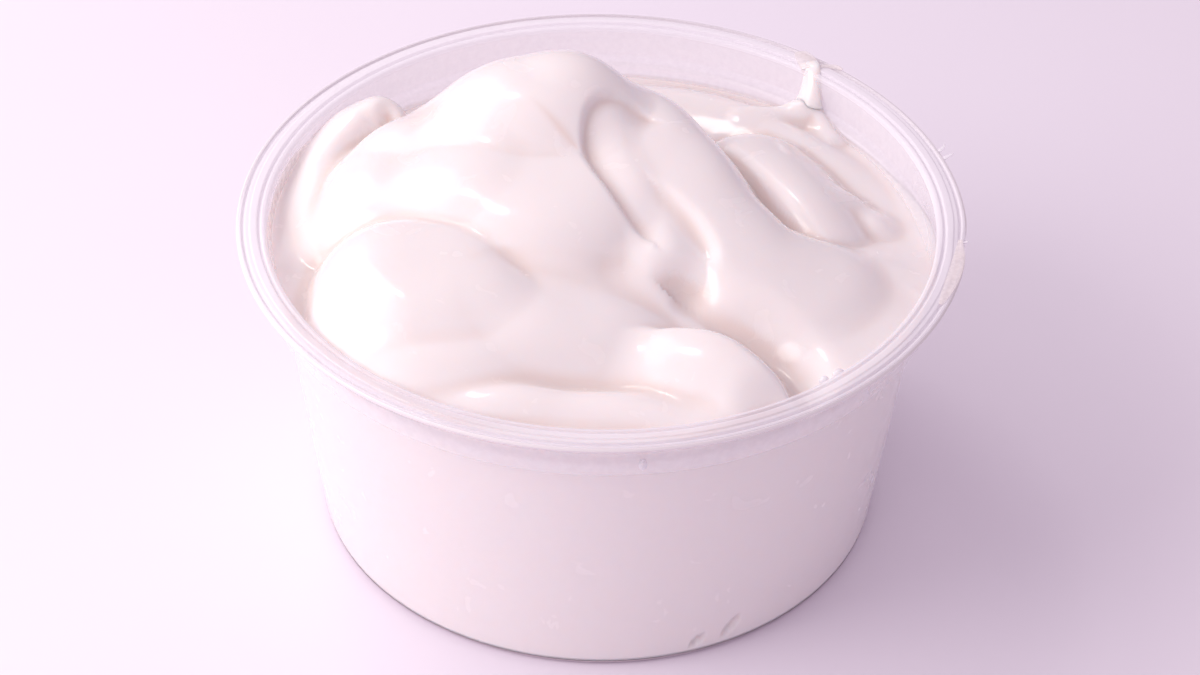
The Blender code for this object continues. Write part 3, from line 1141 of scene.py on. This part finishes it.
@dataclass
class CupMarks:
    """The marks and traces that the real cup carries: smears of dip, burrs, beads and droplets."""

    plastic: Finish
    dip: Finish
    film: Finish

    def smears(self) -> list[SweptPiece]:
        """Draw the string of dip over the back right of the flange, and the films and drops beside it.

        Returns:
            The smears, with thin films on the left inner wall and the right of the rim.
        """
        string = SweptPiece("smear_string", [
            Station(29.5, 32.3, -4.7, 2.7, 1.5, 58), Station(29.9, 33.5, -3.3, 2.1, 1.3, 66),
            Station(30.1, 34.5, -2.0, 1.7, 1.05, 72), Station(30.1, 35.4, -0.8, 1.5, 0.8, 60),
            Station(29.9, 36.3, 0.0, 1.5, 0.5, 25), Station(29.6, 37.3, 0.15, 1.2, 0.3, 5)],
            self.dip, Slot.DIP)
        film = SweptPiece("smear_film", [
            Station(29.8, 35.8, 0.05, 1.3, 0.3, 20), Station(29.4, 37.6, 0.15, 1.5, 0.3, 3),
            Station(28.9, 39.0, 0.1, 1.3, 0.2, 0), Station(28.5, 40.2, 0.0, 0.9, 0.12, 0)],
            self.film, Slot.DIP)
        side = SweptPiece("smear_drops", [
            Station(31.0, 36.2, 0.0, 0.5, 0.25, 0), Station(32.2, 36.4, 0.05, 0.35, 0.2, 0),
            Station(33.6, 36.2, 0.05, 0.5, 0.28, 0), Station(34.6, 35.6, 0.0, 0.2, 0.12, 0)],
            self.film, Slot.DIP)
        left = SweptPiece("smear_left", [
            Station(-41.9, 16.6, -1.4, 0.3, 0.1, 85), Station(-43.6, 12.4, -1.7, 0.9, 0.16, 88),
            Station(-45.0, 6.0, -1.9, 1.2, 0.18, 88), Station(-45.4, 0.0, -2.0, 1.2, 0.18, 88),
            Station(-44.9, -6.5, -1.9, 1.0, 0.16, 88), Station(-43.8, -12.2, -1.6, 0.3, 0.1, 85)],
            self.film, Slot.DIP)
        right = SweptPiece("smear_right", [
            Station(48.7, -4.9, -0.1, 0.3, 0.1, 0), Station(48.3, -8.6, -0.1, 0.8, 0.15, 0),
            Station(47.4, -12.4, -0.1, 1.0, 0.15, 0), Station(46.2, -16.2, -0.1, 0.8, 0.14, 0),
            Station(45.0, -19.3, -0.1, 0.3, 0.1, 0)],
            self.film, Slot.DIP)
        return [string, film, side, left, right]

    def burrs(self) -> list[SweptPiece]:
        """Draw the slivers that the mould's parting line left on the rim, and the beads of plastic.

        Returns:
            The slivers and beads.
        """
        shapes = {
            "burr_back": [Station(47.1, 16.0, -0.4, 0.4, 0.2), Station(47.8, 16.5, -0.1, 0.3, 0.15),
                          Station(48.1, 17.2, 0.2, 0.08, 0.06)],
            "burr_side": [Station(47.7, 14.3, -0.4, 0.4, 0.2), Station(48.6, 14.7, -0.1, 0.3, 0.15),
                          Station(49.2, 15.1, 0.1, 0.08, 0.06)],
            "burr_right": [Station(49.2, -5.0, -0.6, 0.5, 0.25), Station(49.5, -5.3, -0.2, 0.35, 0.2),
                           Station(49.6, -5.9, 0.2, 0.12, 0.1)],
            "bead_hanging": [Station(5.7, -46.9, -4.4, 0.3, 0.3, -90),
                             Station(5.7, -47.1, -5.2, 0.55, 0.5, -90),
                             Station(5.75, -47.0, -5.9, 0.35, 0.35, -90)],
            "bead_left": [Station(28.3, -35.3, -0.7, 0.25, 0.2), Station(28.9, -34.9, -0.4, 0.5, 0.35),
                          Station(29.5, -34.5, -0.6, 0.25, 0.2)],
            "bead_right": [Station(30.1, -33.9, -0.7, 0.3, 0.2), Station(30.9, -33.4, -0.4, 0.55, 0.4),
                           Station(31.5, -32.9, -0.6, 0.3, 0.2)],
        }
        return [SweptPiece(name, stations, self.plastic, Slot.PLASTIC) for name, stations in shapes.items()]

    def build(self) -> list[bpy.types.Object]:
        """Build every mark.

        Returns:
            The pieces.
        """
        return [shape.build() for shape in [*self.smears(), *self.burrs()]]


@dataclass
class SoftLight:
    """An area light aimed at the cup from a direction."""

    name: str
    azimuth: float
    elevation: float
    distance: float
    width: float
    power: float
    colour: str
    aim: Place = (0.0, 0.0, 0.03)

    def build(self) -> bpy.types.Object:
        """Hang the light.

        Returns:
            The light.
        """
        turn, lift = math.radians(self.azimuth), math.radians(self.elevation)
        away = Vector((math.cos(turn) * math.cos(lift), math.sin(turn) * math.cos(lift), math.sin(lift)))
        data = bpy.data.lights.new(self.name, "AREA")
        data.shape = "DISK"
        data.size = self.width
        data.energy = self.power
        data.color = linear_colour(self.colour)[:3]
        light = bpy.data.objects.new(self.name, data)
        light.location = Vector(self.aim) + away * self.distance
        light.rotation_euler = away.to_track_quat("Z", "Y").to_euler()
        bpy.context.scene.collection.objects.link(light)
        return light


@dataclass
class Studio:
    """A pale table, soft light from the left and the photographer's viewpoint."""

    table: Finish
    table_radius: float = 3.0
    sky: str = "#FFEEFD"
    sky_strength: float = 0.6
    lens: float = 100.2
    pitch: float = 51.42
    roll: float = 1.003
    eye: Place = (0.0, -368.17 * MM, 271.58 * MM)
    lights: list[SoftLight] = field(default_factory=lambda: [
        SoftLight("window_front", 240, 22, 0.8, 0.65, 0.6, "#FFFBF6"),
        SoftLight("window_side", 200, 37, 0.6, 0.4, 1.75, "#FFFBF6"),
        SoftLight("window_back", 146, 36, 0.55, 0.5, 0.95, "#FFFBF6"),
        SoftLight("lamp_above", 128, 62, 0.9, 0.13, 0.45, "#FFFBF6"),
    ])

    def build(self) -> None:
        """Set up the table, the light and the camera."""
        self.build_table()
        self.build_sky()
        self.build_camera()
        for light in self.lights:
            light.build()
        bpy.context.scene.view_settings.view_transform = "Standard"

    def build_table(self) -> None:
        """A round table top that reaches out of every view."""
        mesh = bmesh.new()
        bmesh.ops.create_circle(mesh, cap_ends=True, segments=96, radius=self.table_radius)
        data = bpy.data.meshes.new("table")
        mesh.to_mesh(data)
        mesh.free()
        data.materials.append(self.table.material())
        table = bpy.data.objects.new("table", data)
        bpy.context.scene.collection.objects.link(table)

    def build_sky(self) -> None:
        """Even pale light from all round."""
        world = bpy.data.worlds.new("pale_room")
        world.use_nodes = True
        background = world.node_tree.nodes["Background"]
        background.inputs["Color"].default_value = linear_colour(self.sky)
        background.inputs["Strength"].default_value = self.sky_strength
        bpy.context.scene.world = world

    def build_camera(self) -> None:
        """The camera of the photograph."""
        data = bpy.data.cameras.new("viewpoint")
        data.lens = self.lens
        data.sensor_width = 36.0
        data.clip_start = 0.01
        camera = bpy.data.objects.new("viewpoint", data)
        tip = Euler((math.radians(self.pitch), 0.0, 0.0)).to_matrix()
        turn = tip @ Matrix.Rotation(math.radians(self.roll), 3, "Z")
        place = Vector(self.eye) + Vector((0, 0, RIM_HEIGHT))
        camera.matrix_world = Matrix.Translation(place) @ turn.to_4x4()
        bpy.context.scene.collection.objects.link(camera)
        bpy.context.scene.camera = camera


def main() -> None:
    """Load the frame, build the cup, the dip, the marks and the studio, and report each piece."""
    logging.basicConfig(level=logging.INFO, format="%(message)s")
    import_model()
    plastic = MouldedPolypropylene()
    cup = ClearCup({
        Zone.CLEAR: plastic,
        Zone.WETTED: SheerPolypropylene("clear polypropylene, wetted by dip", film=0.08),
        # Painted light: the flange's outer edge is an opaque pale colour standing in for the light gathered
        # in the plastic's edge.
        Zone.THICK: MouldedPolypropylene("polypropylene, milky where it is thick", tint="#ECE5E8",
                                         clearness=0.0, roughness=0.35),
        Zone.SHEER: SheerPolypropylene("clear polypropylene, thin and faintly hazy", film=0.3),
        # Painted shade: the foot ring is an opaque grey standing in for the shadow under the foot, seen
        # through the clear plastic.
        Zone.RING: MouldedPolypropylene("polypropylene, grey in the foot ring", tint="#D6C6CE",
                                        clearness=0.0, roughness=0.35),
    })
    cup.build()
    dip = StrainedDip()
    HeapedDip(finish=dip, cup=cup).build()
    CupMarks(plastic=plastic, dip=dip, film=SmearedDip()).build()
    Studio(table=PaleLaminate()).build()


if __name__ == "__main__":
    main()
